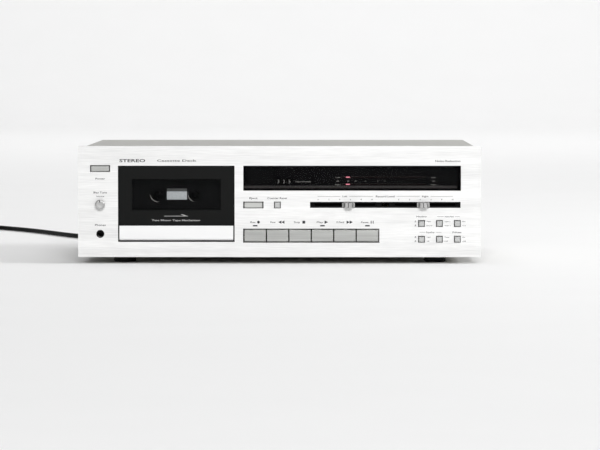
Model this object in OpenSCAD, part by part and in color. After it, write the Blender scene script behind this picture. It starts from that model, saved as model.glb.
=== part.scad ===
// Front-loading stereo cassette deck, as an assembly of separate pieces.
// X runs to the right as a person faces the deck, the front faces -Y, and +Z is up.
// The origin is under the middle of the deck, on the surface that it stands on.

/* [Front plate] */
// Width of the front plate
fascia_w = 450; // [440:1:470]
// Height of the front plate
fascia_h = 124; // [124:1:128]
// Thickness of the front plate
fascia_t = 4; // [3:0.5:4]
// Gap between the front plate and the surface below
fascia_bottom = 7; // [6:0.5:7]

/* [Case] */
// Width of the case behind the front plate
case_w = 440; // [434:1:444]
// Depth of the case, from the front plate's face to its rear edge
case_depth = 330; // [290:5:360]
// Height of the top cover above the surface
case_top = 130; // [130:1:131]
// Thickness of the sheet metal
sheet = 1.2; // [1:0.1:1.4]
// Height of the feet
foot_h = 12; // [12:1:13]
// Radius of the feet
foot_r = 12.5; // [10:0.5:13]
// Distance of the feet from the middle
foot_x = 175; // [150:5:185]

/* [Cassette door] */
// Middle of the cassette door, from the middle of the deck
door_x = -115.2; // [-116:0.2:-115]
// Width of the door opening
door_open_w = 130.2; // [130:0.1:131]
// Bottom of the door opening
door_open_bottom = 23.9; // [23.9:0.1:24]
// Top of the door opening
door_open_top = 109.1; // [109:0.1:110]
// Gap between the door and its opening
door_gap = 1.45; // [1.3:0.05:1.5]
// Radius of the door's rounded bottom edge, about its hinge
hinge_round = 3.2; // [3.1:0.05:3.3]
// Height of the hinge above the surface
hinge_z = 28.1; // [28:0.1:28.3]
// Height of the reel spindles
reel_z = 76.8; // [76.8:0.1:77]

/* [Buttons and sliders] */
// Distance from one transport button to the next
key_pitch = 25.07; // [25:0.01:25.2]
// Width of a transport button
key_w = 23.9; // [23:0.1:24]
// Height of a transport button
key_h = 12.2; // [11:0.1:12.4]
// Length that a level slider travels
slider_travel = 60; // [50:1:60]
// How far the slider knobs stand out from the front plate
front_proud = 11; // [8:1:14]
// How far the phono sockets stand out from the rear edge
rear_proud = 10; // [8:1:12]

/* [Mains cord] */
// Diameter of the cord
cord_d = 5.6; // [5:0.1:6]

/* [Hidden] */
$fn = 48;

// Front face of the front plate: the deck's own middle lies halfway between its outermost pieces.
front_y = front_proud - (case_depth + front_proud + rear_proud) / 2;
fascia_mid_z = fascia_bottom + fascia_h / 2;
panel_t = sheet;
inner_w = case_w - 2 * sheet - 0.6;
rear_d = case_depth - 1;
floor_top = foot_h + sheet;
cover_inner_top = case_top - sheet;
behind_panels = fascia_t + panel_t;

// Screws: the cover's are given as side and distance, the rear panel's as x and z.
cover_screws = [for (side = [-1, 1], d = [45, case_depth - 45]) [side, d]];
cover_screw_z = 32;
rear_screws = [for (x = [-200, 0, 200]) [x, 120]];
screw_hole_r = 2.1;
screw_shank_r = 1.9;
foot_inset = 38;
chassis_lip = 34;

// Power switch, bias knob and headphone socket share one column at the left.
left_col_x = -200.2;
power_z = 105.9;
power_open = [22.4, 7.5];
bias_z = 65.9;
phones_z = 32.9;
phones_hole_r = 4.5;
phones_sleeve_r = 4.4;
phones_mouth_r = 3.9;
phones_bore_r = 3.2;
phones_depth = 32;

// Display window, its tape counter and its level meter.
display_x = 81.1;
display_z = 95.15;
display_w = 243;
display_h = 27.9;
counter_z = 91.4;
counter_d = 16.5;
drum_r = 9.5;
drum_w = 5.6;
drum_x = [11.2, 5.0, -1.2];
axle_r = 1.5;
led_first_x = 71.2;
led_pitch = 5.3;
led_count = 18;
led_size = [4.6, 2, 1.8];
led_rows = [96.0, 88.05];

// Eject and counter-reset buttons under the display, and the slider slot beside them.
eject_x = -29.1;
eject_open = [22.7, 7.5];
reset_x = -2.3;
row_z = 65.25;
small_open = 7.6;
slot_x = 118.25;
slot_z = 65.35;
slot_w = 168.1;
slot_h = 6.7;
slider_mid_x = [73.25, 163.2];
slider_rest_x = [77.1, 160.6];
slider_base_w = 14;
slider_tip_w = 7;
slider_h = 5.6;

// Transport buttons and the six small push buttons.
keys_x = 35.4;
keys_z = 30.95;
keys_open = [151.4, 14.9];
first_key_x = -27.1;
small_cols = [158.7, 178.7, 198.7];
small_rows = [44.6, 27.0];
rect_cap = [20.4, 5.7];
small_cap = 6;

// Door and cassette well. Distances "d" run back from the front plate's face.
reel_pitch = 42.5;
hinge_d = 3.4;
door_face_d = 0.2;
trim_t = 0.8;
lid_back_d = 5.6;
door_w = door_open_w - 2 * door_gap;
door_top = door_open_top - door_gap;
trim_top = 42;
lid_open_w = 99.1;
lid_open_bottom = 59.3;
lid_open_h = 34.9;
lug_x = 58.5;
lug_w = 5;
lug_r = 2.1;
hinge_pin_r = 1.1;
fit = 0.05;
well_in = [132, 89];
well_mid_z = 66.5;
well_wall = 2;
plate_d = 21;
plate_t = 2;
plate_h = 95;
post_x = 64;
post_z = [26, 107];
cassette_w = 100.4;
holder_plate_d = 18;
holder_sheet = 1.3;
holder_top = 105;
hub_hole_r = 8.6;
lamp_open = [22.6, 12.7];

// Tape mechanism.
capstan_x = 30.5;
capstan_z = 51.5;
capstan_r = 1.25;
capstan_tip_d = 9.5;
flywheel_r = 29;
flywheel_d = 34;
flywheel_t = 10;
bracket_d = 48;
bracket_t = 1.5;
pulley_z = 90;
pulley_r = 6;
motor_r = 17;
reel_motor_at = [-45, 95];
reel_shaft_r = 1.5;
roller_r = 5.5;
pinch_pivot = [47, 30];
pinch_reach = 21.93;
pinch_rest_angle = 14.5;
head_rise = 10;
guide_pin_x = 9.5;
guide_pin_z = 39;

// Rear sockets.
phono_at = [[120, 45], [142, 45], [120, 67], [142, 67]];
phono_sleeve_r = 4.15;
phono_hole_r = 4.6;
phono_bore_r = 1.7;

// Mains cord: strain relief, the stretch that isn't coiled, the coil and the plug.
cord_x = -190;
cord_z = 40;
relief_hole_r = 5.5;
cord_r = cord_d / 2;
relief_len = 32;
cord_start_y = front_y + rear_d + relief_len;
route_y = cord_start_y - 1.5;
route_points = [
    [-190, 10, 40], [-190, 22, 38], [-191, 36, 31], [-193, 50, 21], [-196, 64, 11], [-201, 79, 5],
    [-207, 95, 3], [-218, 113, 3], [-238, 135, 3], [-261, 162, 3], [-277, 190, 3], [-291, 218, 3],
    [-304, 245, 3], [-318, 273, 3], [-332, 299, 3], [-347, 324, 3], [-362, 347, 3], [-378, 370, 3],
    [-389, 384, 3]
];
route = [[cord_x, cord_start_y, cord_z], for (p = route_points) [p.x, route_y + p.y, p.z]];
coil_at = [-428, route_y + 366];
coil_in = 19;
coil_out = 44.4;
coil_h = 12;
plug_at = [-470, route_y + 332];

// ---- helpers ---------------------------------------------------------------------------------

// Moves a piece to x and z on the front, at distance d behind the front plate's face.
module place(x, d, z) {
    translate([x, front_y + d, z]) children();
}

// Extrudes an outline drawn in X and Z back along +Y.
module upright(t) {
    translate([0, t, 0]) rotate([90, 0, 0]) linear_extrude(t) children();
}

// Extrudes an outline drawn in Y and Z along +X, centred.
module along_x(w) {
    translate([-w / 2, 0, 0]) rotate([90, 0, 90]) linear_extrude(w) children();
}

// A block centred in X and Z whose front face is at y = 0.
module block(size) {
    translate([-size.x / 2, 0, -size.z / 2]) cube(size);
}

// A round bar that runs back along +Y from y = 0.
module bar(r, l) {
    rotate([-90, 0, 0]) cylinder(r = r, h = l);
}

// A screw along +Y: a pan head in front of y = 0 and a shank behind it.
module screw(head_r, head_h, shank_r, shank_l) {
    difference() {
        translate([0, -head_h, 0]) bar(head_r, head_h);
        translate([0, -head_h - 0.1, 0]) block([head_r * 1.2, 0.9, 0.8]);
        translate([0, -head_h - 0.1, 0]) block([0.8, 0.9, head_r * 1.2]);
    }
    bar(shank_r, shank_l);
}

// ---- case --------------------------------------------------------------------------------------

module foot_places() {
    for (x = [-foot_x, foot_x], d = [foot_inset, case_depth - foot_inset]) place(x, d, 0) children();
}

// Holes for the cover's screws through two side walls, width apart.
module cover_screw_holes(width) {
    for (s = cover_screws)
        place(s[0] * width / 2, s[1], cover_screw_z)
            rotate([0, 90, 0]) cylinder(r = screw_hole_r, h = 6, center = true);
}

module chassis_base() {
    color("gainsboro") difference() {
        union() {
            place(0, behind_panels, foot_h)
                translate([-inner_w / 2, 0, 0]) cube([inner_w, rear_d - sheet - behind_panels, sheet]);
            for (side = [-1, 1])
                place(side * (inner_w - sheet) / 2, behind_panels, foot_h)
                    translate([-sheet / 2, 0, 0])
                        cube([sheet, rear_d - sheet - behind_panels, chassis_lip]);
        }
        cover_screw_holes(inner_w);
        for (x = [-60, 60], i = [0:7])
            place(x, 90 + 16 * i, foot_h - 1) translate([-22, 0, 0]) cube([44, 5, 4]);
    }
}

module top_cover() {
    depth = case_depth - behind_panels;
    color("darkgray") difference() {
        place(0, behind_panels, foot_h)
            translate([-case_w / 2, 0, 0]) cube([case_w, depth, case_top - foot_h]);
        place(0, behind_panels - 1, foot_h - 1)
            translate([-case_w / 2 + sheet, 0, 0])
                cube([case_w - 2 * sheet, depth + 2, cover_inner_top - foot_h + 1]);
        cover_screw_holes(case_w);
    }
}

// Outlines of every opening in the front plate, except the door's.
module control_openings() {
    translate([left_col_x, power_z]) square(power_open, center = true);
    translate([display_x, display_z]) square([display_w, display_h], center = true);
    translate([eject_x, row_z]) square(eject_open, center = true);
    translate([reset_x, row_z]) square(small_open, center = true);
    translate([keys_x, keys_z]) square(keys_open, center = true);
    for (x = small_cols, z = small_rows) translate([x, z]) square(small_open, center = true);
    translate([left_col_x, phones_z]) circle(r = phones_hole_r);
    translate([left_col_x, bias_z]) circle(r = 3);
}

module front_panel() {
    color("whitesmoke") place(0, 0, 0) upright(fascia_t) difference() {
        translate([0, fascia_mid_z]) square([fascia_w, fascia_h], center = true);
        control_openings();
        translate([slot_x, slot_z]) square([slot_w, slot_h], center = true);
        translate([door_x, (door_open_bottom + door_open_top) / 2])
            square([door_open_w, door_open_top - door_open_bottom], center = true);
    }
}

module front_subpanel() {
    color("dimgray") place(0, fascia_t, 0) upright(panel_t) difference() {
        translate([0, (foot_h + cover_inner_top) / 2])
            square([inner_w, cover_inner_top - foot_h], center = true);
        control_openings();
        translate([slot_x, slot_z]) square([slot_w - 2, 3.6], center = true);
        translate([door_x, well_mid_z])
            square([well_in.x + 2 * well_wall + 0.6, well_in.y + 2 * well_wall + 0.6], center = true);
    }
}

module rear_panel() {
    color("silver") difference() {
        place(0, rear_d - sheet, foot_h)
            translate([-inner_w / 2, 0, 0]) cube([inner_w, sheet, cover_inner_top - foot_h]);
        for (p = phono_at) place(p[0], rear_d - 3, p[1]) bar(phono_hole_r, 6);
        for (s = rear_screws) place(s[0], rear_d - 3, s[1]) bar(screw_hole_r, 6);
        place(cord_x, rear_d - 3, cord_z) bar(relief_hole_r, 6);
    }
}

module feet() {
    color("black") foot_places() rotate_extrude()
        polygon([[0, 0], [foot_r - 1.5, 0], [foot_r, 1.5], [foot_r - 1, foot_h], [0, foot_h]]);
}

module case_screws() {
    color("dimgray") {
        for (s = cover_screws)
            place(s[0] * case_w / 2, s[1], cover_screw_z)
                rotate([0, 0, s[0] * 90]) screw(4, 2.2, screw_shank_r, 5);
        for (s = rear_screws) place(s[0], rear_d, s[1]) rotate([0, 0, 180]) screw(3.4, 2, screw_shank_r, 5);
    }
}

// ---- display -----------------------------------------------------------------------------------

module display_window() {
    color([0.05, 0.05, 0.06]) place(display_x, 0.6, display_z)
        block([display_w - 0.3, 2.4, display_h - 0.3]);
}

module display_carrier() {
    bay = [22.8, 22];
    bay_x = 4.9;
    cheek_t = 1.5;
    color("black") {
        place(0, 12, 0) upright(2) difference() {
            translate([display_x, display_z]) square([display_w - 6, display_h + 3], center = true);
            translate([bay_x, counter_z]) square(bay, center = true);
        }
        for (side = [-1, 1])
            place(bay_x + side * (bay.x - cheek_t) / 2, 8, counter_z) block([cheek_t, 19, 22]);
        place(bay_x, counter_d, counter_z)
            rotate([0, 90, 0]) cylinder(r = axle_r, h = bay.x - 2 * cheek_t, center = true);
        for (x = [-30, 192], z = [84, 107]) place(x, behind_panels, z) bar(2, 12 - behind_panels);
    }
}

module meter_leds() {
    color("crimson")
        for (z = led_rows, i = [0:led_count - 1])
            place(led_first_x + led_pitch * i, 12 - led_size.y, z) block(led_size);
}

module counter_drum(x) {
    color("black") place(x, counter_d, counter_z) rotate([0, 90, 0]) difference() {
        cylinder(r = drum_r, h = drum_w, center = true, $fn = 64);
        cylinder(r = axle_r + fit, h = drum_w + 2, center = true);
    }
}

// ---- controls ----------------------------------------------------------------------------------

// A push button: the cap, a lip that stops it behind the panels, and a stem into its switch.
module push_button(x, z, cap, proud, lip) {
    cap_back = behind_panels + 3;
    place(x, -proud, z) block([cap.x, cap_back + proud, cap.y]);
    place(x, cap_back - 1.6, z) block([lip.x, 1.6, lip.y]);
    place(x, cap_back, z) block([3, 14, 3]);
}

// A switch behind a button, with a square well for the button's stem.
module switch_body(x, z, size) {
    front = behind_panels + 9;
    color("seagreen") difference() {
        place(x, front, z) block(size);
        place(x, front - 1, z) block([3.8, size.y - 1, 3.8]);
    }
}

module transport_button(i) {
    color("darkgray")
        push_button(first_key_x + key_pitch * i, keys_z, [key_w, key_h], 1.4, [key_w, key_h + 4.6]);
}

module rect_button(x, z) {
    color("darkgray") push_button(x, z, rect_cap, 2, [rect_cap.x, rect_cap.y + 4]);
}

module small_button(x, z) {
    color("darkgray") push_button(x, z, [small_cap, small_cap], 2.6, [small_cap, small_cap + 4]);
}

module switch_bodies() {
    for (i = [0:5]) switch_body(first_key_x + key_pitch * i, keys_z, [14, 18, 12]);
    switch_body(left_col_x, power_z, [16, 26, 12]);
    switch_body(eject_x, row_z, [12, 18, 10]);
    switch_body(reset_x, row_z, [10, 18, 10]);
    for (x = small_cols, z = small_rows) switch_body(x, z, [12, 22, 11]);
    color("seagreen") difference() {
        place(left_col_x, behind_panels, bias_z) block([16, 9, 16]);
        place(left_col_x, behind_panels - 1, bias_z) bar(2 + fit, 9);
    }
}

module bias_knob() {
    color("silver") {
        place(left_col_x, -8, bias_z) difference() {
            bar(5.4, 7.6);
            translate([0, -0.1, 3.2]) block([0.8, 0.6, 3]);
        }
        place(left_col_x, -0.6, bias_z) bar(2, behind_panels + 7);
    }
}

module slide_controls() {
    depth = 12;
    color("darkslategray") for (x = slider_mid_x) difference() {
        place(x, behind_panels + 2, slot_z) block([slider_travel + 22, depth, 12]);
        place(x, behind_panels + 1, slot_z) block([slider_travel + 8, depth - 1, 3]);
    }
    color("darkslategray") for (x = slider_mid_x, side = [-1, 1])
        place(x + side * (slider_travel / 2 + 8), behind_panels, slot_z + 4) block([4, 2, 3]);
}

module level_slider(i) {
    color("silver") {
        place(slider_rest_x[i], -front_proud, slot_z - slider_h / 2) linear_extrude(slider_h) polygon([
            [-slider_tip_w / 2, 0], [slider_tip_w / 2, 0],
            [slider_base_w / 2, front_proud - 1], [-slider_base_w / 2, front_proud - 1]
        ]);
        place(slider_rest_x[i], -1.1, slot_z) block([6, behind_panels + 11, 2]);
    }
}

// The socket's black sleeve comes forward through the panels, and its bore starts behind them.
module headphone_jack() {
    sleeve_d = 0.3;
    color("black") difference() {
        union() {
            place(left_col_x, sleeve_d, phones_z) bar(phones_sleeve_r, behind_panels + 0.1 - sleeve_d);
            place(left_col_x, behind_panels, phones_z) block([16, phones_depth, 16]);
        }
        place(left_col_x, -1, phones_z) bar(phones_mouth_r, behind_panels + 3);
        place(left_col_x, behind_panels, phones_z) bar(phones_bore_r, phones_depth - 3);
    }
}

// Each phono socket: a block inside, a collar through the panel and the barrel that a plug grips.
module phono_jacks() {
    body = [16, 8, 16];
    panel_front = rear_d - sheet;
    collar_end = rear_d + 1;
    color("goldenrod") for (p = phono_at) difference() {
        union() {
            place(p[0], panel_front - body.y, p[1]) block(body);
            place(p[0], panel_front - 1, p[1]) bar(phono_hole_r - 0.1, collar_end - panel_front + 1);
            place(p[0], rear_d, p[1]) bar(phono_sleeve_r, case_depth + rear_proud - rear_d);
        }
        place(p[0], panel_front - 5, p[1]) bar(phono_bore_r, 20 + rear_proud);
    }
}

// ---- electronics -------------------------------------------------------------------------------

module main_board() {
    board = [236, 150, 1.6];
    board_d = 70;
    board_x = 78;
    board_z = floor_top + 10;
    capacitors = [[-95, 105, 9, 26], [-70, 105, 9, 26], [-95, 80, 6, 18], [20, 100, 5, 12], [60, 60, 4, 11]];
    chips = [[-20, 40, 20, 7], [10, 40, 20, 7], [45, 30, 16, 6], [75, 30, 16, 6], [-60, 30, 24, 10]];
    color("darkkhaki") place(board_x, board_d, board_z) {
        translate([-board.x / 2, 0, 0]) cube(board);
        for (x = [-1, 1], y = [8, board.y - 8])
            translate([x * (board.x / 2 - 8), y, floor_top - board_z]) cylinder(r = 3, h = 10);
        for (c = capacitors) translate([c[0], c[1], board.z]) cylinder(r = c[2], h = c[3]);
        for (c = chips) translate([c[0], c[1], board.z]) cube([c[2], c[3], 4]);
        translate([-40, board.y - 12, board.z]) cube([60, 3, 34]);
    }
}

module power_transformer() {
    at = [-160, case_depth - 75];
    color("slategray") place(at.x, at.y, floor_top) {
        translate([-37, -16, 0]) cube([74, 32, 1.6]);
        translate([-30, -14, 0]) cube([60, 28, 50]);
        translate([-18, -23, 6]) cube([36, 46, 38]);
    }
}

// ---- cassette well and mechanism ---------------------------------------------------------------

module well_frame() {
    outer = [well_in.x + 2 * well_wall, well_in.y + 2 * well_wall];
    color("black") place(door_x, 0, 0) {
        translate([0, fascia_t, well_mid_z]) upright(plate_d - fascia_t) difference() {
            square(outer, center = true);
            square(well_in, center = true);
        }
        for (side = [-1, 1]) translate([side * lug_x, 0, 0]) hinge_lug();
    }
}

// One lug that carries the door: it stands on the well's floor and reaches forward to the hinge.
module hinge_lug() {
    well_floor = well_mid_z - well_in.y / 2;
    difference() {
        along_x(lug_w) {
            translate([hinge_d, hinge_z]) circle(r = lug_r);
            translate([hinge_d, hinge_z - 1.9]) square([5.6, 3.4]);
            translate([6.8, well_floor - 0.5]) square([2.2, hinge_z - well_floor]);
        }
        translate([0, hinge_d, hinge_z]) rotate([0, 90, 0])
            cylinder(r = hinge_pin_r + fit, h = lug_w + 2, center = true);
    }
}

module cassette_lamp() {
    color("lightsteelblue") place(door_x, 19.7, reel_z) block([25.4, plate_d - 19.7, 16]);
}

module mechanism_plate() {
    color("gray") place(door_x, plate_d, 0) {
        difference() {
            translate([0, 0, well_mid_z]) block([well_in.x + 2 * well_wall, plate_t, plate_h]);
            for (side = [-1, 1]) {
                translate([side * reel_pitch / 2, -1, reel_z]) bar(reel_shaft_r + fit, 5);
                translate([side * capstan_x, -1, capstan_z]) bar(capstan_r + fit, 5);
            }
        }
        for (side = [-1, 1]) {
            translate([side * pinch_pivot.x, -6, pinch_pivot.y]) bar(1.5, 6);
            translate([side * guide_pin_x, -2.4, guide_pin_z]) bar(1.5, 2.4);
        }
    }
}

// The rear bracket holds the capstans' far ends and the motor, on four posts from the plate.
module mechanism_bracket() {
    rail = 12;
    color("silver") {
        place(door_x, bracket_d, 0) upright(bracket_t) difference() {
            union() {
                for (z = post_z) translate([0, z]) square([2 * post_x + 8, rail], center = true);
                translate([0, capstan_z]) square([2 * post_x + 8, rail], center = true);
                for (x = [-post_x - 4, post_x - 4])
                    translate([x, post_z[0]]) square([8, post_z[1] - post_z[0]]);
                translate([-18, capstan_z]) square([36, post_z[1] - capstan_z]);
            }
            for (side = [-1, 1]) translate([side * capstan_x, capstan_z]) circle(r = capstan_r + fit);
            translate([0, pulley_z]) circle(r = 2);
        }
        for (side = [-1, 1], z = post_z)
            place(door_x + side * post_x, plate_d + plate_t, z) bar(3, bracket_d - plate_d - plate_t);
    }
}

module capstan_motor() {
    color("silver") place(door_x, bracket_d + bracket_t, pulley_z) difference() {
        union() {
            bar(motor_r, 26);
            bar(6, 30);
        }
        translate([0, -1, 0]) bar(1 + fit, 14);
    }
}

module reel_motor() {
    color("silver") place(door_x + reel_motor_at.x, plate_d + plate_t, reel_motor_at.y) {
        bar(12, 20);
        bar(4, 23);
    }
}

module motor_pulley() {
    color("goldenrod") place(door_x, flywheel_d + 1, pulley_z) {
        bar(pulley_r, 8);
        bar(1, 24);
    }
}

module drive_belt() {
    clearance = 0.4;
    belt_t = 1;
    color("black") place(door_x, flywheel_d + 3, 0) upright(4) difference() {
        belt_outline(clearance + belt_t);
        belt_outline(clearance);
    }
}

module belt_outline(grow) {
    hull() {
        for (side = [-1, 1]) translate([side * capstan_x, capstan_z]) circle(r = flywheel_r + grow, $fn = 96);
        translate([0, pulley_z]) circle(r = pulley_r + grow, $fn = 48);
    }
}

module flywheel(side) {
    color("silver") place(door_x + side * capstan_x, 0, capstan_z) {
        translate([0, flywheel_d, 0]) bar(flywheel_r, flywheel_t, $fn = 96);
        translate([0, flywheel_d - 4, 0]) bar(5, 6);
        translate([0, capstan_tip_d, 0]) bar(capstan_r, bracket_d + bracket_t + 1 - capstan_tip_d);
    }
}

module spindle(side) {
    color("black") place(door_x + side * reel_pitch / 2, 0, reel_z) {
        translate([0, 10, 0]) bar(3.2, 9.8);
        translate([0, 10, 0]) rotate([90, 0, 0]) cylinder(r1 = 3.2, r2 = 1.4, h = 1.6);
        for (i = [0:5]) rotate([0, 60 * i, 0]) translate([4, 11, 0]) block([1.9, 8.8, 0.9]);
        translate([0, 19.6, 0]) bar(7.8, 1.1);
        translate([0, 19.6, 0]) bar(reel_shaft_r, 12.2);
        translate([0, plate_d + plate_t + 0.6, 0]) bar(13.8, 3.4);
    }
}

module head_base() {
    base_t = 1.2;
    slot = [3.6, head_rise + 4];
    color("silver") place(door_x, 0, 0) {
        translate([0, 19.4, 0]) upright(base_t) difference() {
            translate([0, 34.5]) square([50, 19], center = true);
            for (side = [-1, 1])
                translate([side * guide_pin_x, guide_pin_z - head_rise / 2]) square(slot, center = true);
        }
        translate([0, 8.5, 35.4]) block([11, 11, 10.6]);
        translate([-15.6, 8.5, 35.4]) block([7, 11, 10.6]);
        translate([15.6, 12, 33]) block([6, 7.5, 6]);
    }
}

// A pinch arm: a boss on its pivot post, the arm, and the rubber roller on its pin.
module pinch_arm(side) {
    color("dimgray") place(door_x + side * pinch_pivot.x, 0, pinch_pivot.y)
        rotate([0, -side * (90 - pinch_rest_angle), 0]) {
            difference() {
                union() {
                    translate([0, 16, 0]) bar(3.5, 1.6);
                    translate([0, 14.5, 0]) bar(2.9, 3);
                    translate([0, 16, pinch_reach / 2]) block([6, 1.6, pinch_reach]);
                }
                translate([0, 13, 0]) bar(1.5 + fit, 7);
            }
            translate([0, 8.5, pinch_reach]) bar(roller_r, 7.6);
        }
}

// ---- door --------------------------------------------------------------------------------------

// Side outline of the whole door, with its bottom edge rounded about the hinge.
module door_profile(inset) {
    intersection() {
        union() {
            translate([hinge_d, hinge_z]) circle(r = hinge_round - inset, $fn = 64);
            translate([door_face_d + inset, hinge_z])
                square([lid_back_d - door_face_d - inset, door_top - hinge_z]);
        }
        square([lid_back_d, door_top]);
    }
}

// The part of the side outline that the bright trim strip takes.
module trim_profile() {
    difference() {
        intersection() {
            door_profile(0);
            square([hinge_d, trim_top]);
        }
        door_profile(trim_t);
    }
}

module lid_trim_strip() {
    color("white") place(door_x, 0, 0) along_x(door_w) trim_profile();
}

module cassette_lid() {
    lug_gap = lug_w + 1;
    color([0.13, 0.13, 0.14]) place(door_x, 0, 0) {
        difference() {
            along_x(door_w) intersection() {
                door_profile(0);
                union() {
                    translate([0, trim_top]) square([lid_back_d, door_top]);
                    door_profile(trim_t);
                }
            }
            translate([0, -1, lid_open_bottom + lid_open_h / 2]) block([lid_open_w, 9, lid_open_h]);
            for (side = [-1, 1])
                translate([side * lug_x, 0, 0]) translate([-lug_gap / 2, -1, 0])
                    cube([lug_gap, 9, hinge_z + 2.6]);
        }
        for (side = [-1, 1]) translate([side * lug_x, hinge_d, hinge_z]) rotate([0, 90, 0])
            cylinder(r = hinge_pin_r, h = lug_gap + 0.4, center = true);
    }
}

module lid_window() {
    color([0.2, 0.2, 0.22]) place(door_x, 1.6, lid_open_bottom + lid_open_h / 2)
        block([lid_open_w - 0.1, 2, lid_open_h - 0.1]);
}

module cassette_holder() {
    wall = 1.6;
    ledge_in = 42;
    ledge_bottom = 40;
    plate_bottom = 42;
    cutaway = [40, 58];
    wall_x = cassette_w / 2 + wall / 2;
    color([0.16, 0.16, 0.17]) place(door_x, 0, 0) {
        translate([0, holder_plate_d, 0]) upright(holder_sheet) difference() {
            translate([-cassette_w / 2 - wall, plate_bottom])
                square([cassette_w + 2 * wall, holder_top - plate_bottom]);
            translate([-cutaway.x, 0]) square([2 * cutaway.x, cutaway.y]);
            for (side = [-1, 1]) translate([side * reel_pitch / 2, reel_z]) circle(r = hub_hole_r, $fn = 64);
            translate([0, reel_z]) square(lamp_open, center = true);
        }
        for (side = [-1, 1]) {
            translate([side * wall_x, lid_back_d, (ledge_bottom + holder_top) / 2])
                block([wall, holder_plate_d + holder_sheet - lid_back_d, holder_top - ledge_bottom]);
            translate([side * (ledge_in + cassette_w / 2) / 2, lid_back_d, ledge_bottom + 1])
                block([cassette_w / 2 - ledge_in, holder_plate_d - lid_back_d + holder_sheet, 2]);
        }
    }
}

// ---- mains cord --------------------------------------------------------------------------------

module strain_relief() {
    color("black") place(cord_x, rear_d, cord_z) {
        translate([0, -sheet - 3, 0]) bar(5.3, sheet + 4);
        bar(8, 3);
        translate([0, 2.9, 0]) rotate([-90, 0, 0]) cylinder(r1 = 5.6, r2 = 3.8, h = relief_len - 2.9);
    }
}

// Unit vector along v, and the direction of the route at point i.
function unit(v) = v / norm(v);
function heading(p, i) = unit(p[min(i + 1, len(p) - 1)] - p[max(i - 1, 0)]);

// Smooth point between p[i] and p[i + 1] at fraction t, on a curve through all the points.
function before(p, i) = p[max(i - 1, 0)];
function after(p, i) = p[min(i + 2, len(p) - 1)];
function curve_point(p, i, t) =
    0.5 * (2 * p[i] + (p[i + 1] - before(p, i)) * t
    + (2 * before(p, i) - 5 * p[i] + 4 * p[i + 1] - after(p, i)) * t * t
    + (3 * p[i] - 3 * p[i + 1] + after(p, i) - before(p, i)) * t * t * t);
function smooth(p, steps) = concat(
    [for (i = [0:len(p) - 2], s = [0:steps - 1]) curve_point(p, i, s / steps)], [p[len(p) - 1]]);

// One ring of points around point c, square to heading h.
function ring(c, h, r, sides) =
    let (across = unit(cross([0, 0, 1], h)), up = cross(h, across))
    [for (k = [0:sides - 1]) c + r * (across * cos(360 * k / sides) + up * sin(360 * k / sides))];

module tube(path, r, sides) {
    rings = [for (i = [0:len(path) - 1]) each ring(path[i], heading(path, i), r, sides)];
    last = (len(path) - 1) * sides;
    walls = [
        for (i = [0:len(path) - 2], k = [0:sides - 1])
        let (a = i * sides + k, b = i * sides + (k + 1) % sides)
        [a, b, b + sides, a + sides]
    ];
    start_cap = [for (k = [0:sides - 1]) sides - 1 - k];
    end_cap = [for (k = [0:sides - 1]) last + k];
    polyhedron(points = rings, faces = concat([start_cap], walls, [end_cap]));
}

module power_cord() {
    color("black") tube(smooth(route, 2), cord_r, 10);
}

module power_cord_coil() {
    color("black") translate([coil_at.x, coil_at.y, 0.2]) rotate_extrude($fn = 72)
        translate([coil_in, 0]) square([coil_out - coil_in, coil_h]);
}

module power_plug() {
    body = [24, 28, 14];
    pin = [1.5, 17, 6.3];
    pin_pitch = 12.7;
    color("black") translate([plug_at.x, plug_at.y, 0]) {
        translate([-body.x / 2, -body.y, 0.3]) cube(body);
        translate([0, -0.5, 7]) rotate([-90, 0, 0]) cylinder(r1 = 6, r2 = 3.6, h = 18);
        for (side = [-1, 1])
            translate([(side * pin_pitch - pin.x) / 2, -body.y - pin.y, 7.3 - pin.z / 2])
                cube([pin.x, pin.y + 2, pin.z]);
    }
}

// ---- assembly ----------------------------------------------------------------------------------

chassis_base();
top_cover();
front_panel();
front_subpanel();
rear_panel();
feet();
case_screws();
display_window();
display_carrier();
meter_leds();
slide_controls();
switch_bodies();
headphone_jack();
phono_jacks();
main_board();
power_transformer();
well_frame();
cassette_lamp();
mechanism_plate();
mechanism_bracket();
capstan_motor();
reel_motor();
drive_belt();
motor_pulley();
flywheel(-1);  // supply_flywheel
flywheel(1);  // takeup_flywheel
spindle(-1);  // supply_spindle
spindle(1);  // takeup_spindle
head_base();
pinch_arm(-1);  // supply_pinch_arm
pinch_arm(1);  // takeup_pinch_arm
cassette_lid();
lid_window();
lid_trim_strip();
cassette_holder();
transport_button(0);  // record_button
transport_button(1);  // rewind_button
transport_button(2);  // stop_button
transport_button(3);  // play_button
transport_button(4);  // fast_forward_button
transport_button(5);  // pause_button
rect_button(left_col_x, power_z);  // power_button
rect_button(eject_x, row_z);  // eject_button
small_button(reset_x, row_z);  // counter_reset_button
small_button(small_cols[0], small_rows[0]);  // tape_type_button
small_button(small_cols[1], small_rows[0]);  // equalizer_button
small_button(small_cols[2], small_rows[0]);  // noise_reduction_button
small_button(small_cols[0], small_rows[1]);  // source_button
small_button(small_cols[1], small_rows[1]);  // timer_button
small_button(small_cols[2], small_rows[1]);  // multiplex_filter_button
level_slider(0);  // level_slider_left
level_slider(1);  // level_slider_right
bias_knob();
counter_drum(drum_x[0]);  // counter_units_drum
counter_drum(drum_x[1]);  // counter_tens_drum
counter_drum(drum_x[2]);  // counter_hundreds_drum
strain_relief();
power_cord();
power_cord_coil();
power_plug();
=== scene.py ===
"""The looks of the cassette deck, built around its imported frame. Metres, +Z up, the front faces -Y."""
import math

import bmesh
import bpy
from mathutils import Matrix, Vector


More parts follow.
